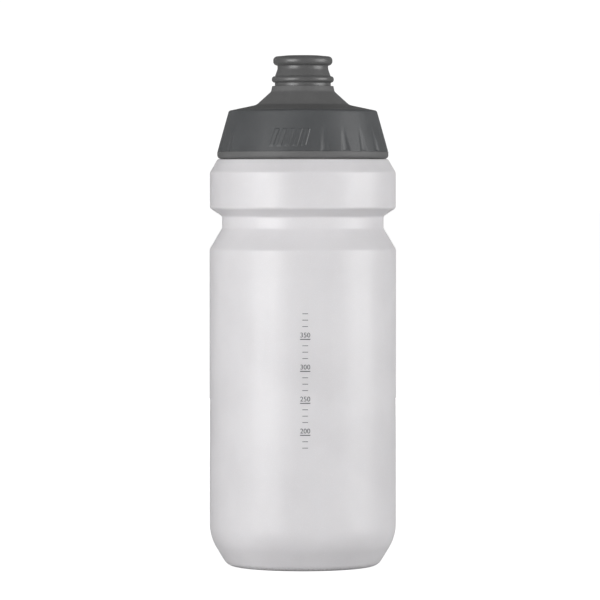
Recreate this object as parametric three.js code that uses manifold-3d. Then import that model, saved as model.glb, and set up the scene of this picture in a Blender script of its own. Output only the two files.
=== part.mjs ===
// A squeeze water bottle for a bicycle: a blow-moulded bottle with a waist groove for its cage,
// a screw cap with a soft grip sleeve, and a push-pull nozzle. Millimetres, +Z up, the origin at
// the centre of the base. The front faces -Y, and angles round the axis start there and grow
// towards +X. The cap is screwed down and the nozzle is pushed in.
import * as THREE from 'three';
import { ParametricGeometry } from 'three/addons/geometries/ParametricGeometry.js';
import { mergeVertices, toCreasedNormals } from 'three/addons/utils/BufferGeometryUtils.js';
import Module from 'manifold-3d';

const wasm = await Module();
wasm.setup();

// Bottle
const BODY_RADIUS = 37;
const BAND_RADIUS = 36.85;
const GROOVE_RADIUS = 32;
const WALL = 1.2;
const LINING_ROUNDING = 5;
const LEDGE_Z = 161.2;
const NECK_RADIUS = 25.2;
const NECK_BORE = 23.6;
const LIP_Z = 176.9;

// Screw thread: one start, right-handed
const THREAD_PITCH = 4.5;
const THREAD_DEPTH = 1.3;
const THREAD_BASE = 1.9;
const THREAD_CREST = 1.0;
const THREAD_BITE = 0.3;
const THREAD_RUN_OUT = 0.12;
const NECK_THREAD_Z = 167.2;
const NECK_THREAD_TURNS = 1.5;
const CAP_THREAD_DROP = 1.6;
const CAP_THREAD_LEAD = 0.5;
const CAP_THREAD_TURNS = 2;

// Cap
const RIM_RADIUS = 33.96;
const RIM_Z = 161.5;
const RIM_TOP_Z = 164.4;
const CAP_BORE = 26.9;
const CAP_SKIRT_RADIUS = 28.4;
const GASKET_SEAT_Z = 178.7;
const DOME_FOOT = [18.46, 182.9];
const DOME_TOP = [12.6, 188.2];
const NOZZLE_WELL = 11.4;
const WELL_TOP_Z = 190.4;
const RIB_COUNT = 12;

// Grip sleeve: a cone from its foot to its brow, then the flat slope of the crown
const SLEEVE_FOOT = [33.85, 164.6];
const SLEEVE_BROW = [29.35, 180.6];
const SLEEVE_THICKNESS = 1.5;
const SLEEVE_INNER_EDGE = 26.8;
const FIT_GAP = 0.2;
const FLUTE_RADIUS = 3.2;
const FLUTE_DEPTH = 0.55;
const FLUTE_TOP_Z = 174;
const FLUTE_PITCH = 15;
const FLUTE_FIRST = 15;
const FLUTE_LAST = 300;
const BAR = { width: 1.7, height: 6.6, slant: 1.8, proud: 0.3, z: 169.9 };
const BAR_ANGLES = [-20, -14.5, -9, -3.5, 2];

// Spout insert and nozzle
const TUBE_RADIUS = 6.8;
const TUBE_BORE = 5.6;
const TUBE_FOOT_Z = 176.5;
const TUBE_TOP_Z = 198.4;
const STEM_RADIUS = 2.2;
const STOPPER_RADIUS = 3;
const SPOKE_COUNT = 3;
const CORE_BORE = 7.5;
const ORIFICE_RADIUS = 3.2;
const SEAL_Z = 185;
const SEAL_WIRE = 0.75;
const SKIRT_RADIUS = 11.1;
const BEAD_RADIUS = 12.3;
const WAIST_RADIUS = 10.05;
const LIP_RADIUS = 11.75;
const TOP_Z = 202.5;

// Facets
const WIDE_SEGMENTS = 40;
const NARROW_SEGMENTS = 28;
const ARC_SAGITTA = 0.13;
const CREASE = THREE.MathUtils.degToRad(32);

const sleeveSlope = (SLEEVE_FOOT[0] - SLEEVE_BROW[0]) / (SLEEVE_BROW[1] - SLEEVE_FOOT[1]);
const sleeveRadius = (z) => SLEEVE_FOOT[0] - (z - SLEEVE_FOOT[1]) * sleeveSlope;
const crownSlope = (DOME_FOOT[1] - SLEEVE_BROW[1]) / (SLEEVE_BROW[0] - DOME_FOOT[0]);
const crownHeight = (r) => DOME_FOOT[1] - (r - DOME_FOOT[0]) * crownSlope;

const degrees = THREE.MathUtils.degToRad;
const point = ([r, z]) => new THREE.Vector2(r, z);
const leftOf = (direction) => new THREE.Vector2(-direction.y, direction.x);

// A closed outline from its corners, each [r, z] or [r, z, rounding], which becomes an arc.
function outline(corners) {
  return corners.flatMap((corner, i) => {
    const here = point(corner);
    const rounding = corner[2];
    if (!rounding) return [here];
    const back = point(corners.at(i - 1)).sub(here).normalize();
    const ahead = point(corners[(i + 1) % corners.length]).sub(here).normalize();
    const turn = Math.PI - back.angleTo(ahead);
    const bisector = back.clone().add(ahead).normalize();
    const centre = here.clone().addScaledVector(bisector, rounding / Math.cos(turn / 2));
    const start = here.clone().addScaledVector(back, rounding * Math.tan(turn / 2));
    const sweep = Math.sign(ahead.cross(back)) * turn;
    const steps = Math.ceil(turn / (2 * Math.acos(1 - ARC_SAGITTA / rounding)));
    return Array.from({ length: steps + 1 }, (_, k) => start.clone().rotateAround(centre, sweep * k / steps));
  });
}

// The corners moved to the left of their direction by a wall's thickness. A large rounding stays
// concentric, a small one becomes a plain corner, and a corner on the axis stays on it.
function inset(corners, thickness) {
  return corners.map((corner, i) => {
    const here = point(corner);
    const before = i > 0 ? here.clone().sub(point(corners[i - 1])).normalize() : null;
    const after = i < corners.length - 1 ? point(corners[i + 1]).sub(here).normalize() : null;
    const into = before ?? after;
    const out = after ?? before;
    const mitre = leftOf(into).add(leftOf(out));
    const moved = here.clone().addScaledVector(mitre, thickness / (1 + into.dot(out)));
    const large = corner[2] > LINING_ROUNDING;
    const rounding = large ? corner[2] - Math.sign(into.cross(out)) * thickness : 0;
    return [corner[0] === 0 ? 0 : moved.x, moved.y, rounding];
  });
}

// A closed geometry as a solid: shared vertices merged, and triangles with no area dropped.
function solid(geometry) {
  geometry.deleteAttribute('normal');
  geometry.deleteAttribute('uv');
  const merged = mergeVertices(geometry, 1e-4);
  const corners = merged.index.array;
  const triVerts = [];
  for (let i = 0; i < corners.length; i += 3) {
    const [a, b, c] = corners.slice(i, i + 3);
    if (a !== b && b !== c && c !== a) triVerts.push(a, b, c);
  }
  return new wasm.Manifold(new wasm.Mesh({
    numProp: 3,
    vertProperties: merged.attributes.position.array,
    triVerts: new Uint32Array(triVerts),
  }));
}

// The corners' outline turned once round the axis. It runs up the outside and down the inside.
function revolve(corners, segments) {
  const points = outline(corners);
  return solid(new THREE.LatheGeometry([...points, points[0]], segments).rotateX(Math.PI / 2));
}

// A screw thread: a trapezoid ridge from the root, just inside the wall, to the crest. It climbs
// one pitch a turn, and it shrinks to nothing at both ends.
function thread({ root, crest, startZ, startTurn, turns }) {
  const side = Math.sign(crest - root);
  const section = [
    [root, side * THREAD_BASE / 2],
    [crest, side * THREAD_CREST / 2],
    [crest, -side * THREAD_CREST / 2],
    [root, -side * THREAD_BASE / 2],
  ];
  const ridge = (u, v, target) => {
    const [radius, offset] = section[Math.round(u * section.length) % section.length];
    const turned = v * turns;
    const swell = Math.min(1, turned / THREAD_RUN_OUT, (turns - turned) / THREAD_RUN_OUT);
    const angle = (startTurn + turned) * 2 * Math.PI;
    const r = root + (radius - root) * swell;
    target.set(r * Math.sin(angle), -r * Math.cos(angle), startZ + THREAD_PITCH * turned + offset * swell);
  };
  return solid(new ParametricGeometry(ridge, section.length, Math.round(turns * WIDE_SEGMENTS)));
}

// A flat plate with the given (r, z) corners, standing in the half plane at an angle.
function fin(corners, thickness, angle) {
  const plate = new THREE.ExtrudeGeometry(new THREE.Shape(corners.map(point)), {
    depth: thickness,
    bevelEnabled: false,
  });
  plate.translate(0, 0, -thickness / 2);
  plate.rotateX(Math.PI / 2);
  return solid(plate.rotateZ(degrees(angle - 90)));
}

function bottleShell() {
  const neckRoot = [NECK_RADIUS, LEDGE_Z, 1.5];
  const skin = [
    [0, 3],
    [19, 2.4, 4],
    [24, 0, 0.6],
    [29.95, 0, 4.5],
    [BODY_RADIUS, 11.5, 18],
    [BODY_RADIUS, 125.7, 2],
    [GROOVE_RADIUS, 134.1, 1.5],
    [GROOVE_RADIUS, 138.8, 1],
    [BAND_RADIUS, 142, 1],
    [BAND_RADIUS, 156.1, 2],
    [33.79, LEDGE_Z, 1],
  ];
  const lining = inset([...skin, neckRoot], WALL).slice(0, -1);
  const body = revolve([
    ...skin,
    neckRoot,
    [NECK_RADIUS, LIP_Z, 0.5],
    [NECK_BORE, LIP_Z, 0.5],
    [NECK_BORE, LEDGE_Z - WALL, 1],
    ...lining.reverse(),
  ], WIDE_SEGMENTS);
  return body.add(thread({
    root: NECK_RADIUS - THREAD_BITE,
    crest: NECK_RADIUS + THREAD_DEPTH,
    startZ: NECK_THREAD_Z,
    startTurn: 0,
    turns: NECK_THREAD_TURNS,
  }));
}

// The cap is double-walled below: a threaded skirt inside the cone that carries the sleeve, with
// a slot and ribs between them. A low ring centres the gasket.
function capShell() {
  const seatRadius = (z) => sleeveRadius(z) - SLEEVE_THICKNESS - 2 * FIT_GAP;
  const seatBrow = [27.75, 179.35];
  const crownStep = SLEEVE_INNER_EDGE - FIT_GAP;
  const slotTop = 169.5;
  const body = revolve([
    [31.4, RIM_Z],
    [RIM_RADIUS, RIM_Z, 1.7],
    [RIM_RADIUS, RIM_TOP_Z, 0.2],
    [seatRadius(RIM_TOP_Z), RIM_TOP_Z],
    seatBrow,
    [crownStep, crownHeight(crownStep) - SLEEVE_THICKNESS - FIT_GAP],
    [crownStep, crownHeight(crownStep)],
    [...DOME_FOOT, 12],
    [...DOME_TOP, 1.5],
    [12.15, WELL_TOP_Z, 0.3],
    [NOZZLE_WELL, WELL_TOP_Z],
    [NOZZLE_WELL, 182.4],
    [13.8, 182.4],
    [13.8, 180.4],
    [13.3, 180.2],
    [13.3, 179.8],
    [13.8, 179.4],
    [13.8, 178.8],
    [15.4, 178.8],
    [15.4, 183.4],
    [17.9, 181.3],
    [22.2, 180.3],
    [22.2, 177.4],
    [23.2, 177.4],
    [23.2, GASKET_SEAT_Z],
    [CAP_BORE, GASKET_SEAT_Z],
    [CAP_BORE, 162],
    [CAP_SKIRT_RADIUS, 162],
    [CAP_SKIRT_RADIUS, slotTop],
    [29.2, slotTop],
  ], WIDE_SEGMENTS);
  const ridge = thread({
    root: CAP_BORE + THREAD_BITE,
    crest: CAP_BORE - THREAD_DEPTH,
    startZ: NECK_THREAD_Z - CAP_THREAD_DROP - CAP_THREAD_LEAD * THREAD_PITCH,
    startTurn: -CAP_THREAD_LEAD,
    turns: CAP_THREAD_TURNS,
  });
  const rib = [[28.2, 163.4], [31.3, 163.4], [29.5, 169.7], [28.2, 169.7]];
  const ribs = Array.from({ length: RIB_COUNT }, (_, i) => fin(rib, 1, (i + 0.5) * 360 / RIB_COUNT));
  return ribs.reduce((whole, one) => whole.add(one), body.add(ridge));
}

// One grip flute: a round cutter that leans in a little more than the cone, so that the flute
// fades out at its top.
function fluteCutter(angle) {
  const low = [sleeveRadius(RIM_TOP_Z) - FLUTE_DEPTH, RIM_TOP_Z];
  const high = [sleeveRadius(FLUTE_TOP_Z), FLUTE_TOP_Z];
  const lean = Math.atan((low[0] - high[0]) / (high[1] - low[1]));
  const middle = point(low).add(point(high)).multiplyScalar(0.5);
  const cutter = new THREE.CylinderGeometry(FLUTE_RADIUS, FLUTE_RADIUS, 18, 16);
  cutter.rotateX(Math.PI / 2);
  cutter.rotateY(-lean);
  cutter.translate(middle.x + FLUTE_RADIUS * Math.cos(lean), 0, middle.y + FLUTE_RADIUS * Math.sin(lean));
  return solid(cutter.rotateZ(degrees(angle - 90)));
}

// One slanted decoration bar, raised from the sleeve's smooth front panel.
function bar(angle) {
  const half = BAR.width / 2;
  const lean = BAR.slant / 2;
  const face = new THREE.Shape([
    new THREE.Vector2(-half - lean, -BAR.height / 2),
    new THREE.Vector2(half - lean, -BAR.height / 2),
    new THREE.Vector2(half + lean, BAR.height / 2),
    new THREE.Vector2(-half + lean, BAR.height / 2),
  ]);
  const depth = 1;
  const block = new THREE.ExtrudeGeometry(face, { depth, bevelEnabled: false });
  block.translate(0, 0, BAR.proud - depth);
  block.rotateX(Math.PI / 2 - Math.atan(sleeveSlope));
  block.translate(0, -sleeveRadius(BAR.z), BAR.z);
  return solid(block.rotateZ(degrees(angle)));
}

function gripSleeve() {
  const inner = (z) => sleeveRadius(z) - SLEEVE_THICKNESS - FIT_GAP;
  let body = revolve([
    [...SLEEVE_FOOT, 0.15],
    [...SLEEVE_BROW, 1.1],
    [SLEEVE_INNER_EDGE, crownHeight(SLEEVE_INNER_EDGE)],
    [SLEEVE_INNER_EDGE, crownHeight(SLEEVE_INNER_EDGE) - SLEEVE_THICKNESS],
    [27.95, 179.55],
    [inner(SLEEVE_FOOT[1]), SLEEVE_FOOT[1]],
  ], WIDE_SEGMENTS);
  for (let angle = FLUTE_FIRST; angle <= FLUTE_LAST; angle += FLUTE_PITCH) {
    body = body.subtract(fluteCutter(angle));
  }
  return BAR_ANGLES.reduce((whole, angle) => whole.add(bar(angle)), body);
}

function neckGasket() {
  return revolve([
    [23.4, 177.2],
    [26.6, 177.2],
    [26.6, 178.4],
    [23.4, 178.4],
  ], WIDE_SEGMENTS);
}

// The nozzle slides on the tube, and the stopper on the stem closes its orifice. The flange snaps
// into the cap from below.
function spoutInsert() {
  const flange = 13.5;
  const tube = revolve([
    [TUBE_BORE, TUBE_FOOT_Z],
    [7.2, TUBE_FOOT_Z],
    [7.2, 180.6],
    [flange, 180.6],
    [flange, 182.2],
    [TUBE_RADIUS, 182.2],
    [TUBE_RADIUS, 196.9],
    [7.2, 197.3],
    [7.2, 197.9],
    [TUBE_RADIUS, TUBE_TOP_Z],
    [TUBE_BORE, TUBE_TOP_Z],
  ], NARROW_SEGMENTS);
  const stem = revolve([
    [0, TUBE_FOOT_Z],
    [STEM_RADIUS, TUBE_FOOT_Z],
    [STEM_RADIUS, 197.4],
    [STOPPER_RADIUS, 198.8],
    [STOPPER_RADIUS, 201.5, 0.6],
    [0, 201.5],
  ], NARROW_SEGMENTS);
  const spoke = [[1.8, 176.9], [6.3, 176.9], [6.3, 179.7], [1.8, 179.7]];
  const spokes = Array.from({ length: SPOKE_COUNT }, (_, i) => fin(spoke, 1.2, i * 360 / SPOKE_COUNT));
  return spokes.reduce((whole, one) => whole.add(one), tube).add(stem);
}

function nozzleCore() {
  return revolve([
    [CORE_BORE, 183],
    [9.3, 183],
    [9.3, 189],
    [8.7, 189.8],
    [8.7, 201],
    [ORIFICE_RADIUS + 0.3, 201],
    [ORIFICE_RADIUS, 200.7],
    [ORIFICE_RADIUS, 199.4],
    [CORE_BORE, 199.4],
    [CORE_BORE, 190],
    [7, 189.6],
    [7, 188.8],
    [CORE_BORE, 188.4],
    [CORE_BORE, SEAL_Z + 0.9],
    [8.45, SEAL_Z + 0.9],
    [8.45, SEAL_Z - 0.9],
    [CORE_BORE, SEAL_Z - 0.9],
  ], NARROW_SEGMENTS);
}

function nozzleSeal() {
  return solid(new THREE.TorusGeometry(7.62, SEAL_WIRE, 8, NARROW_SEGMENTS).translate(0, 0, SEAL_Z));
}

function mouthpiece() {
  return revolve([
    [9.5, 182.7],
    [SKIRT_RADIUS, 182.7],
    [SKIRT_RADIUS, 191.7],
    [BEAD_RADIUS, 191.8, 1.1],
    [BEAD_RADIUS, 194.1, 1.1],
    [11.05, 194.3],
    [WAIST_RADIUS, 197.1, 2],
    [WAIST_RADIUS, 198.5],
    [LIP_RADIUS, 198.5, 1.6],
    [LIP_RADIUS, 202, 1.6],
    [6.5, TOP_Z],
    [4.4, TOP_Z, 0.8],
    [4.4, 201.2],
    [8.9, 201.2],
    [8.9, 189.9],
    [9.5, 189.1],
  ], NARROW_SEGMENTS);
}

function piece(name, body, color, roughness) {
  const { vertProperties, triVerts } = body.getMesh();
  const geometry = new THREE.BufferGeometry();
  geometry.setAttribute('position', new THREE.BufferAttribute(vertProperties, 3));
  geometry.setIndex(new THREE.BufferAttribute(triVerts, 1));
  const material = new THREE.MeshStandardMaterial({ color, roughness, metalness: 0 });
  const mesh = new THREE.Mesh(toCreasedNormals(geometry, CREASE), material);
  mesh.name = name;
  return mesh;
}

const bottle = new THREE.Group();
bottle.add(
  piece('bottle_shell', bottleShell(), '#d9d8db', 0.42),
  piece('neck_gasket', neckGasket(), '#c9cdd0', 0.55),
  piece('cap_shell', capShell(), '#5e6062', 0.5),
  piece('grip_sleeve', gripSleeve(), '#585b5e', 0.7),
  piece('spout_insert', spoutInsert(), '#6a6c6e', 0.45),
  piece('nozzle_o_ring', nozzleSeal(), '#2b2c2e', 0.6),
  piece('nozzle_core', nozzleCore(), '#626466', 0.5),
  piece('mouthpiece', mouthpiece(), '#5f6162', 0.6),
);

export default bottle;
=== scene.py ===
import math

import bmesh
import bpy
import numpy as np
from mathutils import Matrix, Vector


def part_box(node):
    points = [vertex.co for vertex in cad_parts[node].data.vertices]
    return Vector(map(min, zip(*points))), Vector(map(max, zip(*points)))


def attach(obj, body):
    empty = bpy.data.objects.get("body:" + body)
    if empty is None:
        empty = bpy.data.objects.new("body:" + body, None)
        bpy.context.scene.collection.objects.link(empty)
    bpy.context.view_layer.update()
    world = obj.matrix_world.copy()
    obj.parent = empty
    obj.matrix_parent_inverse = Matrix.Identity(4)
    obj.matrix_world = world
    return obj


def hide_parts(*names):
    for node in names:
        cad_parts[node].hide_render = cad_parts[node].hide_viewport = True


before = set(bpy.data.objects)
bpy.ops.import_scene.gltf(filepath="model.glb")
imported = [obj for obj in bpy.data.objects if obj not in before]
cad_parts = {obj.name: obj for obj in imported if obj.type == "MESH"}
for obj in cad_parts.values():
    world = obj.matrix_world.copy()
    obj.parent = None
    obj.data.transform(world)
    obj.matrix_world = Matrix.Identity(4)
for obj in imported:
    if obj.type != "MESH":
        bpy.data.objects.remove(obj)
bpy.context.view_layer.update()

MM = 0.001
TURN = 2 * math.pi

# Turned outlines: the widest step of an arc, how far its chords may cut inside it, how close to
# the ends of a long stretch a point is added, and how close to a wall's radius counts as on it
ARC_STEP = math.radians(9)
ARC_SAGITTA = 0.008
HOLD = 0.2
ON_WALL = 0.1


def box_mm(node):
    """The lowest and highest corner of a CAD node, in millimetres."""
    return tuple(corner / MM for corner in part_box(node))


bottle_high = box_mm("bottle_shell")[1]
cap_low, cap_high = box_mm("cap_shell")
sleeve_low = box_mm("grip_sleeve")[0]
gasket_low, gasket_high = box_mm("neck_gasket")
insert_low, insert_high = box_mm("spout_insert")
seal_low, seal_high = box_mm("nozzle_o_ring")
core_low, core_high = box_mm("nozzle_core")
mouth_low, mouth_high = box_mm("mouthpiece")

# Bottle
PARTING_RIDGE = 0.05
PARTING_HALF_WIDTH = 0.22
WELD_RIDGE = 0.35
WELD_HALF_WIDTH = 0.5
DISH_R = 19
DISH_Z = 3
BODY_R = bottle_high.x - PARTING_RIDGE
WALL = 1.2
NECK_R = 25.2
NECK_BORE = 23.6
LIP_Z = bottle_high.z
LEDGE_Z = cap_low.z - 0.1

# Screw thread
PITCH = 4.5
THREAD_DEPTH = 1.3
THREAD_BASE = 1.9
THREAD_CREST = 1.0
RUN_OUT = 0.12
THREAD_SPACING = 0.28
NECK_THREAD = {"start_z": 167.2, "start_turn": 0.0, "turns": 1.5}
CAP_THREAD = {"start_z": 163.35, "start_turn": -0.5, "turns": 2.0}

# Cap and sleeve
RIM_R = cap_high.x
RIM_Z = cap_low.z
RIM_TOP_Z = RIM_Z + 2.9
CAP_BORE = 26.9
SLEEVE_FOOT = (33.85, sleeve_low.z)
SLEEVE_BROW = (29.35, 180.6)
SLEEVE_THICKNESS = 1.5
SLEEVE_EDGE_R = 26.8
FIT_GAP = 0.2
DOME_FOOT = (18.46, 182.9)
DOME_TOP = (12.6, 188.2)
FLUTE_R = 3.2
FLUTE_DEPTH = 0.55
FLUTE_TOP_Z = 174.0
FLUTE_ANGLES = [math.radians(15 * k) for k in range(1, 21)]
BAR_WIDTH = 1.7
BAR_HEIGHT = 6.6
BAR_SLANT = 1.8
BAR_PROUD = 0.3
BAR_FLANK = 0.3
BAR_Z = 169.9
BAR_ANGLES = [math.radians(a) for a in (-20, -14.5, -9, -3.5, 2)]

SLEEVE_SLOPE = (SLEEVE_FOOT[0] - SLEEVE_BROW[0]) / (SLEEVE_BROW[1] - SLEEVE_FOOT[1])
CROWN_SLOPE = (DOME_FOOT[1] - SLEEVE_BROW[1]) / (SLEEVE_BROW[0] - DOME_FOOT[0])


def sleeve_radius(z):
    return SLEEVE_FOOT[0] - (z - SLEEVE_FOOT[1]) * SLEEVE_SLOPE


def crown_height(r):
    return DOME_FOOT[1] - (r - DOME_FOOT[0]) * CROWN_SLOPE


# ---------------------------------------------------------------- outlines and turned meshes


def unit(v):
    return v / np.linalg.norm(v)


def rounded(corners):
    """The points of a closed outline. A corner is (r, z) or (r, z, rounding), which is an arc."""
    points = []
    for i, corner in enumerate(corners):
        here = np.array(corner[:2], float)
        if len(corner) == 2:
            points.append(here)
            continue
        back = unit(np.array(corners[i - 1][:2]) - here)
        ahead = unit(np.array(corners[(i + 1) % len(corners)][:2]) - here)
        turn = math.pi - math.acos(float(np.clip(back @ ahead, -1, 1)))
        centre = here + unit(back + ahead) * corner[2] / math.cos(turn / 2)
        spoke = here + back * corner[2] * math.tan(turn / 2) - centre
        sweep = math.copysign(turn, ahead[0] * back[1] - ahead[1] * back[0])
        step = min(ARC_STEP, 2 * math.acos(1 - ARC_SAGITTA / corner[2]))
        steps = max(3, math.ceil(turn / step))
        for a in np.linspace(0, sweep, steps + 1):
            c, s = math.cos(a), math.sin(a)
            points.append(centre + (spoke[0] * c - spoke[1] * s, spoke[0] * s + spoke[1] * c))
    return points


def divided(points, spacing):
    """The outline with its long stretches cut up: a point close to each end, which keeps the
    shading of a flat flat, and others no further apart than spacing says there."""
    made = []
    for i, here in enumerate(points):
        there = points[(i + 1) % len(points)]
        length = float(np.linalg.norm(there - here))
        made.append(here)
        on_axis = here[0] < HOLD and there[0] < HOLD
        if length < 3 * HOLD or on_axis:
            continue
        step = spacing((here + there) / 2)
        ends = [HOLD / length, 1 - HOLD / length]
        inner = np.linspace(*ends, max(2, math.ceil(length / step)))
        made += [here + (there - here) * t for t in inner]
    return np.array(made)


def even(count):
    """That many equal steps of angle round the axis."""
    return np.linspace(0, TURN, count, endpoint=False)


def from_angle(angles, centre):
    """How far round the angles are from a centre, from half a turn before it to half after."""
    return (angles - centre + math.pi) % TURN - math.pi


def denser(angles, centre, half_width, step):
    """The angles with the stretch round a centre replaced by finer, equal steps."""
    away = from_angle(angles, centre)
    fine = centre + np.arange(-half_width, half_width + step / 2, step)
    return np.sort(np.concatenate([angles[np.abs(away) > half_width + step / 2], fine % TURN]))


def turned(name, corners, angles, relief=None, spacing=lambda at: 4.0):
    """A closed mesh: the outline, which runs up the outside and down the inside, turned round
    the axis. relief(angle, r, z, outward) is how far each point moves along its normal, where
    outward is the share of the normal that points away from the axis."""
    profile = divided(rounded(corners), spacing)
    along = np.roll(profile, -1, 0) - np.roll(profile, 1, 0)
    normal = np.stack([along[:, 1], -along[:, 0]], 1)
    normal /= np.linalg.norm(normal, axis=1)[:, None]
    a = angles[None, :]
    r = np.repeat(profile[:, :1], len(angles), 1)
    z = np.repeat(profile[:, 1:], len(angles), 1)
    if relief is not None:
        lift = relief(a, r, z, normal[:, :1])
        r = r + lift * normal[:, :1]
        z = z + lift * normal[:, 1:]
    points = np.stack([r * np.sin(a), -r * np.cos(a), z], 2).reshape(-1, 3) * MM
    rows, columns = r.shape
    i, j = np.meshgrid(np.arange(rows), np.arange(columns), indexing="ij")
    up, on = (i + 1) % rows, (j + 1) % columns
    faces = np.stack([i * columns + j, i * columns + on, up * columns + on, up * columns + j], 2)
    return piece_from(name, points.tolist(), faces.reshape(-1, 4).tolist())


def piece_from(name, points, faces):
    """A smooth-shaded object with coinciding points merged and faces without area dropped."""
    mesh = bpy.data.meshes.new(name)
    mesh.from_pydata(points, [], faces)
    work = bmesh.new()
    work.from_mesh(mesh)
    bmesh.ops.remove_doubles(work, verts=work.verts, dist=1e-7)
    bmesh.ops.dissolve_degenerate(work, edges=work.edges, dist=1e-8)
    work.to_mesh(mesh)
    work.free()
    mesh.shade_smooth()
    piece = bpy.data.objects.new(name, mesh)
    bpy.context.scene.collection.objects.link(piece)
    return piece


def fins(name, corners, thickness, count, first):
    """Flat plates round the axis, each with the given (r, z) outline, as one object."""
    points, faces = [], []
    n = len(corners)
    for k in range(count):
        a = first + k * TURN / count
        radial = np.array([math.sin(a), -math.cos(a), 0])
        across = np.array([math.cos(a), math.sin(a), 0])
        start = len(points)
        for side in (-thickness / 2, thickness / 2):
            points += [(radial * r + across * side + (0, 0, z)) * MM for r, z in corners]
        faces.append([start + i for i in range(n)])
        faces.append([start + n + i for i in reversed(range(n))])
        for i in range(n):
            j = (i + 1) % n
            faces.append([start + j, start + i, start + n + i, start + n + j])
    return piece_from(name, points, faces)


def joined(piece, other):
    """piece with other's solid added to it. other is used up."""
    union = piece.modifiers.new("union", "BOOLEAN")
    union.operation = "UNION"
    union.solver = "MANIFOLD"
    union.object = other
    graph = bpy.context.evaluated_depsgraph_get()
    mesh = bpy.data.meshes.new_from_object(piece.evaluated_get(graph), depsgraph=graph)
    piece.modifiers.remove(union)
    piece.data = mesh
    bpy.data.objects.remove(other)
    mesh.set_sharp_from_angle(angle=math.radians(40))
    return piece


def smooth_step(x):
    t = np.clip(x, 0, 1)
    return t * t * (3 - 2 * t)


# ---------------------------------------------------------------- finishes


class Finish:
    """A Principled material and the nodes that pattern it, in object coordinates."""

    def __init__(self, name, **constants):
        self.material = bpy.data.materials.new(name)
        self.material.use_nodes = True
        self.tree = self.material.node_tree
        self.shader = self.tree.nodes["Principled BSDF"]
        for socket, value in constants.items():
            self.shader.inputs[socket.replace("_", " ")].default_value = value
        self.place = self.node("ShaderNodeTexCoord").outputs["Object"]

    def node(self, kind, **settings):
        made = self.tree.nodes.new(kind)
        for key, value in settings.items():
            setattr(made, key, value)
        return made

    def feed(self, socket, value):
        if isinstance(value, bpy.types.NodeSocket):
            self.tree.links.new(value, socket)
        else:
            socket.default_value = value

    def noise(self, grain, detail=2.0, stretch=(1, 1, 1)):
        """A noise from 0 to 1 whose grains are about that many metres across."""
        scaled = self.node("ShaderNodeMapping")
        scaled.inputs["Scale"].default_value = stretch
        self.feed(scaled.inputs["Vector"], self.place)
        made = self.node("ShaderNodeTexNoise")
        self.feed(made.inputs["Vector"], scaled.outputs["Vector"])
        made.inputs["Scale"].default_value = 1 / grain
        made.inputs["Detail"].default_value = detail
        return made.outputs["Fac"]

    def span(self, value, low, high, to_low=0.0, to_high=1.0):
        """value rescaled from low..high to to_low..to_high, and held there."""
        made = self.node("ShaderNodeMapRange", interpolation_type="SMOOTHSTEP")
        self.feed(made.inputs["Value"], value)
        made.inputs["From Min"].default_value = low
        made.inputs["From Max"].default_value = high
        made.inputs["To Min"].default_value = to_low
        made.inputs["To Max"].default_value = to_high
        return made.outputs["Result"]

    def maths(self, operation, a, b):
        made = self.node("ShaderNodeMath", operation=operation)
        self.feed(made.inputs[0], a)
        self.feed(made.inputs[1], b)
        return made.outputs["Value"]

    def mix(self, factor, a, b):
        """A colour between a and b."""
        made = self.node("ShaderNodeMix", data_type="RGBA")
        sockets = [s for s in made.inputs if s.enabled]
        for socket, value in zip(sockets, (factor, a, b)):
            self.feed(socket, value)
        return next(s for s in made.outputs if s.enabled)

    def height(self):
        """The height above the base, in metres."""
        apart = self.node("ShaderNodeSeparateXYZ")
        self.feed(apart.inputs["Vector"], self.place)
        return apart.outputs["Z"]

    def edges(self, radius=0.0006):
        """1 along edges, and 0 on flats: how far the surface turns within that many metres."""
        softened = self.node("ShaderNodeBevel", samples=6)
        softened.inputs["Radius"].default_value = radius
        agreement = self.node("ShaderNodeVectorMath", operation="DOT_PRODUCT")
        self.feed(agreement.inputs[0], softened.outputs["Normal"])
        self.feed(agreement.inputs[1], self.node("ShaderNodeNewGeometry").outputs["Normal"])
        return self.span(agreement.outputs["Value"], 0.995, 0.95)

    def colour(self, value):
        self.feed(self.shader.inputs["Base Color"], value)

    def roughness(self, value):
        self.feed(self.shader.inputs["Roughness"], value)

    def bump(self, *layers):
        """Layers of relief, each (height, depth in metres), from coarse to fine."""
        normal = None
        for value, depth in layers:
            made = self.node("ShaderNodeBump")
            made.inputs["Distance"].default_value = depth
            self.feed(made.inputs["Height"], value)
            if normal is not None:
                self.feed(made.inputs["Normal"], normal)
            normal = made.outputs["Normal"]
        self.feed(self.shader.inputs["Normal"], normal)


def grey(value, cool=0.0):
    """A linear grey, a little blue where cool is above 0."""
    return (value * (1 - cool), value, value * (1 + cool), 1)


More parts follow.
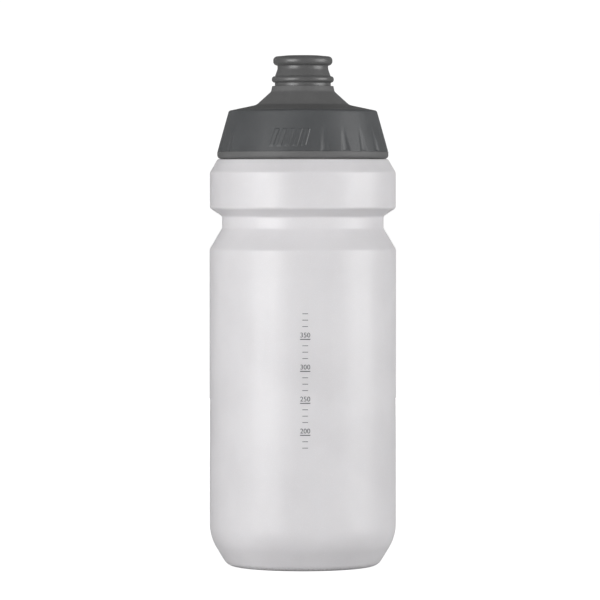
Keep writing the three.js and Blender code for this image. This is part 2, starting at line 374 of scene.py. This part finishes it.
def pearl_polyethylene():
    """Soft white polyethylene with pearl pigment: a satin skin with faint clouds and flow
    streaks, fine sparkle, and scuffs where the bottle stands and rubs."""
    f = Finish(
        "pearl_polyethylene",
        IOR=1.5,
        Subsurface_Weight=0.25,
        Subsurface_Radius=(1.0, 0.95, 0.9),
        Subsurface_Scale=0.003,
        Coat_Weight=0.12,
        Coat_Roughness=0.3,
    )
    clouds = f.noise(0.03, 3)
    sparkle = f.noise(0.00025, 1)
    streaks = f.noise(0.0035, 3, stretch=(1, 1, 0.06))
    base = f.mix(f.span(clouds, 0.35, 0.65), (0.715, 0.70, 0.715, 1), (0.755, 0.74, 0.755, 1))
    base = f.mix(f.span(sparkle, 0.55, 0.8, 0, 0.35), base, (0.9, 0.89, 0.92, 1))
    rubbed = f.span(f.height(), 0.0022, 0.0)
    scuffs = f.maths("MULTIPLY", f.span(f.noise(0.0009, 6), 0.5, 0.62), rubbed)
    f.colour(f.mix(f.maths("MULTIPLY", scuffs, 0.5), base, (0.42, 0.41, 0.40, 1)))
    satin = f.span(streaks, 0.3, 0.7, 0.4, 0.48)
    f.roughness(f.maths("ADD", satin, f.maths("MULTIPLY", scuffs, 0.3)))
    f.bump((clouds, 0.00025), (streaks, 0.00002), (f.noise(0.0005, 2), 0.000012))
    return f.material


def moulded(name, base, roughness, grain=0.00035, relief=0.00003, cool=0.02, **constants):
    """Coloured moulded plastic or rubber: a fine eroded texture, faint flow clouds, and edges that
    handling has polished, their colour lightened: partly wear and partly a painted edge highlight."""
    f = Finish(name, **constants)
    clouds = f.noise(0.012, 4)
    texture = f.noise(grain, 2)
    tone = f.mix(f.span(clouds, 0.3, 0.7), grey(base * 0.94, cool), grey(base * 1.07, cool))
    tone = f.mix(f.span(texture, 0.35, 0.7, 0, 0.25), tone, grey(base * 1.35, cool))
    edges = f.edges()
    # Painted edge highlight, partly wear: the colour is lightened along every edge
    f.colour(f.mix(f.maths("MULTIPLY", edges, 0.35), tone, grey(base * 1.7, cool)))
    worn = f.span(clouds, 0.3, 0.7, roughness * 0.93, roughness * 1.07)
    f.roughness(f.maths("SUBTRACT", worn, f.maths("MULTIPLY", edges, roughness * 0.2)))
    f.bump((clouds, 0.00008), (texture, relief))
    return f.material


def silicone():
    """Milky silicone with faint clouding."""
    f = Finish("milky_silicone", Roughness=0.35, Subsurface_Weight=0.4, Subsurface_Scale=0.002)
    clouds = f.noise(0.004, 3)
    f.colour(f.mix(clouds, (0.56, 0.59, 0.61, 1), (0.66, 0.68, 0.69, 1)))
    f.roughness(f.span(clouds, 0.3, 0.7, 0.32, 0.45))
    f.bump((f.noise(0.0004), 0.00002))
    return f.material


def scale_ink():
    """Dark grey printed ink, thinner in places."""
    f = Finish("scale_ink", IOR=1.5)
    grain = f.noise(0.00018, 3)
    f.colour(f.mix(f.span(grain, 0.45, 0.75), (0.085, 0.088, 0.1, 1), (0.16, 0.165, 0.18, 1)))
    f.roughness(f.span(grain, 0.3, 0.7, 0.4, 0.55))
    f.bump((grain, 0.00001))
    return f.material


# ---------------------------------------------------------------- the bottle


def ridge(angle, r, z, start_z, start_turn, turns):
    """The height of a one-start screw ridge that climbs one pitch a turn and fades at its ends."""
    best = np.zeros(np.broadcast_shapes(angle.shape, r.shape))
    for whole in range(-1, math.ceil(turns) + 1):
        turned_by = angle / TURN - start_turn + whole
        swell = np.clip(np.minimum(turned_by, turns - turned_by) / RUN_OUT, 0, 1)
        away = np.abs(z - start_z - PITCH * turned_by)
        flank = (THREAD_BASE - THREAD_CREST) / 2
        best = np.maximum(best, swell * smooth_step((THREAD_BASE / 2 - away) / flank))
    return best * THREAD_DEPTH


def lining_corners():
    """The inside of the bottle, from the neck down to the axis."""
    return [
        (NECK_BORE, LIP_Z, 0.6),
        (NECK_BORE, LEDGE_Z - WALL, 1.2),
        (33.1, LEDGE_Z - WALL, 1.5),
        (35.62, 155.8, 1.5),
        (35.62, 142.7, 1.5),
        (30.8, 139.45, 1.2),
        (30.8, 133.75, 2),
        (BODY_R - WALL, 125.35, 3),
        (BODY_R - WALL, 11.8, 16.8),
        (29.3, WALL, 3.3),
        (24.3, WALL, 1.5),
        (19.3, 3.6, 3),
        (0, 4.2),
    ]


def bottle():
    corners = [
        (0, DISH_Z),
        (DISH_R, 2.4, 4),
        (24, 0, 0.8),
        (29.95, 0, 4.5),
        (BODY_R, 11.45, 18),
        (BODY_R, 125.7, 2.2),
        (32, 134.1, 1.8),
        (32, 138.8, 1.2),
        (BODY_R - 0.1, 142, 1.2),
        (BODY_R - 0.1, 156.1, 2),
        (33.79, LEDGE_Z, 1),
        (NECK_R, LEDGE_Z, 1.5),
        (NECK_R, LIP_Z, 0.6),
        *lining_corners(),
    ]

    def relief(angle, r, z, outward):
        """The neck's thread, the parting line up both sides, and the pinch-off weld below."""
        off_line = np.cos(angle) * r
        neck = (np.abs(r - NECK_R) < ON_WALL) & (outward > 0.9)
        outside = (outward > -0.3) & (r > NECK_R - 1) & (z > 1)
        dish = (z < DISH_Z + 0.05) & (r < DISH_R)
        return (
            ridge(angle, r, z, **NECK_THREAD) * neck
            + PARTING_RIDGE * np.exp(-((off_line / PARTING_HALF_WIDTH) ** 2)) * outside
            + WELD_RIDGE * np.exp(-((off_line / WELD_HALF_WIDTH) ** 2)) * dish
        )

    def spacing(at):
        on_neck = abs(at[0] - NECK_R) < ON_WALL
        return THREAD_SPACING if on_neck else 4.0

    angles = even(216)
    for side in (TURN / 4, 3 * TURN / 4):
        angles = denser(angles, side, math.radians(1.2), math.radians(0.17))
    return turned("bottle", corners, angles, relief, spacing)


def fill_height(millilitres):
    """The height of that much drink above the base, in millimetres, where the wall is straight."""
    inside = np.array(rounded(lining_corners()[-5:] + [(0, 200), (BODY_R - WALL, 200)]))
    r, z = inside[inside[:, 1] < 60][::-1].T
    raised = TURN * np.sum((z[1:] * r[1:] + z[:-1] * r[:-1]) / 2 * np.diff(r))
    return (millilitres * 1000 + raised) / (math.pi * (BODY_R - WALL) ** 2)


def wrapped(points, centre):
    """Points drawn on a flat sheet (across, up, proud), in millimetres, laid on the bottle."""
    a = (points[:, 0] + centre) / BODY_R
    r = BODY_R + points[:, 2]
    return np.stack([r * np.sin(a), -r * np.cos(a), points[:, 1]], 1) * MM


def fill_scale():
    """A printed scale of the volume: a tick each 10 ml, and each 50 ml a long one with its number
    above it, in place of the next tick. The ink stands out a little and bites into the wall."""
    ink, bite = 0.03, -0.06
    centre = 0.9
    points, faces = [], []
    for ml in range(180, 391, 10):
        major = ml % 50 == 0
        if (ml - 10) % 50 == 0:
            continue
        half_width, half_height = (2.0, 0.17) if major else (1.1, 0.12)
        z = fill_height(ml)
        start, columns = len(points), 9
        for x in np.linspace(-half_width, half_width, columns):
            points += [
                (x, z - half_height, bite),
                (x, z - half_height, ink),
                (x, z + half_height, ink),
                (x, z + half_height, bite),
            ]
        faces.append([start + k for k in reversed(range(4))])
        faces.append([start + 4 * (columns - 1) + k for k in range(4)])
        for c in range(columns - 1):
            for k in range(4):
                low, high = start + 4 * c + k, start + 4 * c + (k + 1) % 4
                faces.append([low, high, high + 4, low + 4])
    for ml in range(200, 351, 50):
        digits = bpy.data.curves.new("digits", "FONT")
        digits.body = str(ml)
        digits.size = 2.7
        digits.align_x = "CENTER"
        digits.extrude = (ink - bite) / 2
        digits.resolution_u = 6
        holder = bpy.data.objects.new("digits", digits)
        bpy.context.scene.collection.objects.link(holder)
        graph = bpy.context.evaluated_depsgraph_get()
        mesh = bpy.data.meshes.new_from_object(holder.evaluated_get(graph), depsgraph=graph)
        bpy.data.objects.remove(holder)
        start = len(points)
        lift = fill_height(ml) + 0.75
        points += [(v.co.x, v.co.y + lift, v.co.z + (ink + bite) / 2) for v in mesh.vertices]
        faces += [[start + k for k in p.vertices] for p in mesh.polygons]
    laid = wrapped(np.array(points, float), centre)
    scale = piece_from("fill_scale", laid.tolist(), faces)
    scale.data.shade_flat()
    return scale


# ---------------------------------------------------------------- the cap


def cap():
    def seat_radius(z):
        return sleeve_radius(z) - SLEEVE_THICKNESS - 2 * FIT_GAP

    step_r = SLEEVE_EDGE_R - FIT_GAP
    land_z = gasket_high.z + 0.3
    well_r, well_floor = 11.4, insert_low.z + 5.9
    slot_top = 169.5
    corners = [
        (31.4, RIM_Z, 0.3),
        (RIM_R, RIM_Z, 1.5),
        (RIM_R, RIM_TOP_Z, 0.2),
        (seat_radius(RIM_TOP_Z), RIM_TOP_Z, 0.15),
        (27.75, 179.35, 0.4),
        (step_r, crown_height(step_r) - SLEEVE_THICKNESS - FIT_GAP, 0.1),
        (step_r, crown_height(step_r), 0.25),
        (*DOME_FOOT, 4),
        (*DOME_TOP, 1.6),
        (12.15, cap_high.z, 0.3),
        (well_r, cap_high.z, 0.25),
        (well_r, well_floor, 0.2),
        (13.8, well_floor, 0.2),
        (13.8, 180.4, 0.1),
        (13.3, 180.2, 0.1),
        (13.3, 179.8, 0.1),
        (13.8, 179.4, 0.1),
        (13.8, 178.8, 0.15),
        (15.4, 178.8, 0.3),
        (15.4, 183.4, 0.6),
        (17.9, 181.3, 1.2),
        (22.2, 180.3, 0.5),
        (22.2, 177.4, 0.3),
        (23.2, 177.4, 0.3),
        (23.2, land_z, 0.2),
        (CAP_BORE, land_z, 0.2),
        (CAP_BORE, 162, 0.4),
        (28.4, 162, 0.4),
        (28.4, slot_top, 0.3),
        (29.2, slot_top, 0.3),
    ]

    def relief(angle, r, z, outward):
        bore = (np.abs(r - CAP_BORE) < ON_WALL) & (outward < -0.9)
        return ridge(angle, r, z, **CAP_THREAD) * bore

    def spacing(at):
        in_bore = abs(at[0] - CAP_BORE) < ON_WALL
        return THREAD_SPACING if in_bore else 4.0

    body = turned("cap", corners, even(216), relief, spacing)
    rib = [(28.2, 163.4), (31.3, 163.4), (29.5, 169.7), (28.2, 169.7)]
    return joined(body, fins("ribs", rib, 1.0, 12, math.radians(15)))


def grip_sleeve():
    inner = SLEEVE_THICKNESS + FIT_GAP
    foot_z = RIM_TOP_Z + 0.07
    rim_softness, least_cut, fade = 0.0012, 0.004, 0.03
    corners = [
        (sleeve_radius(foot_z), foot_z, 0.12),
        (*SLEEVE_BROW, 1.15),
        (SLEEVE_EDGE_R, crown_height(SLEEVE_EDGE_R), 0.3),
        (SLEEVE_EDGE_R, crown_height(SLEEVE_EDGE_R) - SLEEVE_THICKNESS, 0.15),
        (27.95, 179.55, 0.4),
        (sleeve_radius(foot_z) - inner, foot_z, 0.2),
    ]

    def flutes(angle, r, z):
        """Round-bottomed cuts that deepen downwards, with soft rims that fade into the face."""
        depth = FLUTE_DEPTH * (FLUTE_TOP_Z - z) / (FLUTE_TOP_Z - RIM_TOP_Z)
        cut = np.zeros(np.broadcast_shapes(angle.shape, r.shape))
        for centre in FLUTE_ANGLES:
            bite = depth - (from_angle(angle, centre) * r) ** 2 / (2 * FLUTE_R)
            cut = np.maximum(cut, (bite + np.sqrt(bite**2 + rim_softness)) / 2)
        return cut * smooth_step((cut - least_cut) / fade)

    def bars(angle, r, z):
        """Slanted raised bars with steep, rounded flanks."""
        raised = np.zeros(np.broadcast_shapes(angle.shape, r.shape))
        for centre in BAR_ANGLES:
            up = z - BAR_Z
            across = from_angle(angle, centre) * r - up * BAR_SLANT / BAR_HEIGHT
            inside = np.minimum(BAR_WIDTH / 2 - np.abs(across), BAR_HEIGHT / 2 - np.abs(up))
            raised = np.maximum(raised, smooth_step(inside / BAR_FLANK + 0.5))
        return raised * BAR_PROUD

    def relief(angle, r, z, outward):
        face = (outward > 0.5) & (z > foot_z - ON_WALL)
        return (bars(angle, r, z) - flutes(angle, r, z)) * face

    def spacing(at):
        on_face = at[0] > sleeve_radius(at[1]) - ON_WALL
        return 0.2 if on_face else 3.0

    angles = denser(even(520), math.radians(-9), math.radians(17), math.radians(0.3))
    return turned("grip", corners, angles, relief, spacing)


def gasket():
    low, high = gasket_low.z, gasket_high.z
    outer = gasket_high.x
    corners = [(23.4, low, 0.25), (outer, low, 0.25), (outer, high, 0.25), (23.4, high, 0.25)]
    return turned("gasket", corners, even(160))


# ---------------------------------------------------------------- the spout and nozzle


def spout():
    foot, flange = insert_low.z, insert_high.x
    tube_top = insert_high.z - 3.1
    corners = [
        (5.6, foot, 0.25),
        (7.2, foot, 0.25),
        (7.2, 180.6, 0.3),
        (flange, 180.6, 0.25),
        (flange, 182.2, 0.25),
        (6.8, 182.2, 0.3),
        (6.8, 196.9, 0.3),
        (7.2, 197.3, 0.15),
        (7.2, 197.9, 0.15),
        (6.8, tube_top, 0.2),
        (5.6, tube_top, 0.2),
    ]
    stem = [
        (0, foot),
        (2.2, foot, 0.3),
        (2.2, 197.4, 0.8),
        (3, 198.8, 0.4),
        (3, insert_high.z, 0.6),
        (0, insert_high.z),
    ]
    body = turned("spout", corners, even(128))
    spoke = [(1.8, 176.9), (6.3, 176.9), (6.3, 179.7), (1.8, 179.7)]
    body = joined(body, fins("spokes", spoke, 1.2, 3, 0))
    return joined(body, turned("stem", stem, even(96)))


def slider():
    seal_z = (seal_low.z + seal_high.z) / 2
    bore = 7.5
    top = core_high.z
    corners = [
        (bore, core_low.z, 0.3),
        (9.3, core_low.z, 0.3),
        (9.3, 189, 0.3),
        (8.7, 189.8, 0.3),
        (8.7, top, 0.4),
        (3.5, top, 0.15),
        (3.2, 200.7, 0.15),
        (3.2, 199.4, 0.15),
        (bore, 199.4, 0.4),
        (bore, 190, 0.3),
        (7, 189.6, 0.15),
        (7, 188.8, 0.15),
        (bore, 188.4, 0.3),
        (bore, seal_z + 0.9, 0.15),
        (8.45, seal_z + 0.9, 0.2),
        (8.45, seal_z - 0.9, 0.2),
        (bore, seal_z - 0.9, 0.15),
    ]
    return turned("slider", corners, even(128))


def seal_ring():
    """A round section, drawn as a square with nearly all of its corners rounded away."""
    bore = 6.87
    middle = (seal_high.x + bore) / 2
    half = (seal_high.z - seal_low.z) / 2
    low, high = seal_low.z, seal_high.z
    rounding = half * 0.98
    corners = [
        (middle - half, low, rounding),
        (middle + half, low, rounding),
        (middle + half, high, rounding),
        (middle - half, high, rounding),
    ]
    return turned("seal_ring", corners, even(128))


def mouthpiece():
    skirt_z, top = mouth_low.z, mouth_high.z
    bead = mouth_high.x
    corners = [
        (9.5, skirt_z, 0.3),
        (11.1, skirt_z, 0.4),
        (11.1, 191.75, 0.35),
        (bead, 191.8, 1.1),
        (bead, 194.1, 1.1),
        (11.05, 194.3, 0.3),
        (10.05, 197.1, 3),
        (10.05, 198.5, 0.3),
        (11.75, 198.5, 1.6),
        (11.75, 202, 1.6),
        (6.5, top, 3),
        (4.4, top, 0.9),
        (4.4, 201.2, 0.15),
        (8.9, 201.2, 0.3),
        (8.9, 189.9, 0.3),
        (9.5, 189.1, 0.3),
    ]
    return turned("mouth", corners, even(192), spacing=lambda at: 1.5)


# ---------------------------------------------------------------- camera, lights and floor


def aim(thing, place, target):
    thing.location = place
    thing.rotation_euler = (Vector(target) - Vector(place)).to_track_quat("-Z", "Y").to_euler()


def camera():
    """The front view, just above the shoulder, looking slightly down, through a long lens."""
    data = bpy.data.cameras.new("camera")
    data.lens = 258.4
    data.sensor_width = 36
    eye = bpy.data.objects.new("camera", data)
    bpy.context.scene.collection.objects.link(eye)
    off_axis = -0.00112
    aim(eye, (off_axis, -1.71, 0.153), (off_axis, 0, 0.1055))
    bpy.context.scene.camera = eye


def softbox(name, angle, distance, height, size, power, mirrored=True):
    """A soft rectangular light, in metres, at an angle in degrees from the front, turned towards
    the bottle. Unless it is mirrored, gloss doesn't show it."""
    data = bpy.data.lights.new(name, "AREA")
    data.shape = "RECTANGLE"
    data.size, data.size_y = size
    data.energy = power
    lamp = bpy.data.objects.new(name, data)
    bpy.context.scene.collection.objects.link(lamp)
    lamp.visible_camera = False
    lamp.visible_glossy = mirrored
    a = math.radians(angle)
    aim(lamp, (distance * math.sin(a), -distance * math.cos(a), height), (0, 0, 0.1))


def studio():
    """Three softboxes, a sky that lights dimly and looks white, and a pale floor that the camera
    sees as bright."""
    scene = bpy.context.scene
    scene.view_settings.view_transform = "Standard"
    softbox("softbox_left", -43, 1.0, 0.11, (0.66, 0.64), 11.4)
    softbox("softbox_right", 74, 1.0, 0.18, (0.7, 0.7), 9.2)
    softbox("softbox_back", 184, 1.3, 0.16, (0.5, 0.7), 7.0, mirrored=False)

    world = bpy.data.worlds.new("world")
    scene.world = world
    world.use_nodes = True
    sky = world.node_tree.nodes["Background"]
    sky.inputs["Color"].default_value = (1, 1, 1, 1)
    path = world.node_tree.nodes.new("ShaderNodeLightPath")
    level = world.node_tree.nodes.new("ShaderNodeMapRange")
    level.inputs["To Min"].default_value = 0.22
    level.inputs["To Max"].default_value = 1.05
    world.node_tree.links.new(path.outputs["Is Camera Ray"], level.inputs["Value"])
    world.node_tree.links.new(level.outputs["Result"], sky.inputs["Strength"])

    reach = 20
    corners = [(-reach, -reach, 0), (reach, -reach, 0), (reach, reach, 0), (-reach, reach, 0)]
    floor = piece_from("floor", corners, [[0, 1, 2, 3]])
    f = Finish("pale_floor", Roughness=0.7, Emission_Color=(1, 1, 1, 1))
    mottle = f.noise(0.05, 2)
    f.colour(f.mix(mottle, (0.43, 0.43, 0.43, 1), (0.45, 0.45, 0.45, 1)))
    seen = f.node("ShaderNodeLightPath").outputs["Is Camera Ray"]
    f.feed(f.shader.inputs["Emission Strength"], f.maths("MULTIPLY", seen, 0.9))
    floor.data.materials.append(f.material)


# ---------------------------------------------------------------- assembly


def place(piece, material, body, slot, *nodes):
    """Gives a piece its material and the body it moves with; slot is not used. It replaces the
    nodes.
    """
    piece.data.materials.clear()
    piece.data.materials.append(material)
    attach(piece, body)
    if nodes:
        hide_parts(*nodes)


camera()
studio()
pearl = pearl_polyethylene()
cap_plastic = moulded("cap_plastic", 0.123, 0.62, cool=0.0, IOR=1.49)
grip_rubber = moulded(
    "grip_rubber", 0.079, 0.43, grain=0.00028, relief=0.00004, cool=0.04, IOR=1.5
)
mouth_rubber = moulded(
    "mouth_rubber", 0.103, 0.36, grain=0.0003, relief=0.000015, cool=0.0, IOR=1.5
)
insert_plastic = moulded("insert_plastic", 0.12, 0.38, relief=0.00001)
seal_rubber = moulded("seal_rubber", 0.02, 0.45, relief=0.00001)

place(bottle(), pearl, "bottle", "bottle_plastic", "bottle_shell")
place(fill_scale(), scale_ink(), "bottle", "bottle_plastic")
place(gasket(), silicone(), "gasket", "gasket_silicone", "neck_gasket")
place(cap(), cap_plastic, "cap", "cap_plastic", "cap_shell")
place(grip_sleeve(), grip_rubber, "cap", "grip_rubber", "grip_sleeve")
place(spout(), insert_plastic, "cap", "insert_plastic", "spout_insert")
place(seal_ring(), seal_rubber, "nozzle_seal", "seal_rubber", "nozzle_o_ring")
place(slider(), insert_plastic, "nozzle", "insert_plastic", "nozzle_core")
place(mouthpiece(), mouth_rubber, "nozzle", "mouth_rubber", "mouthpiece")
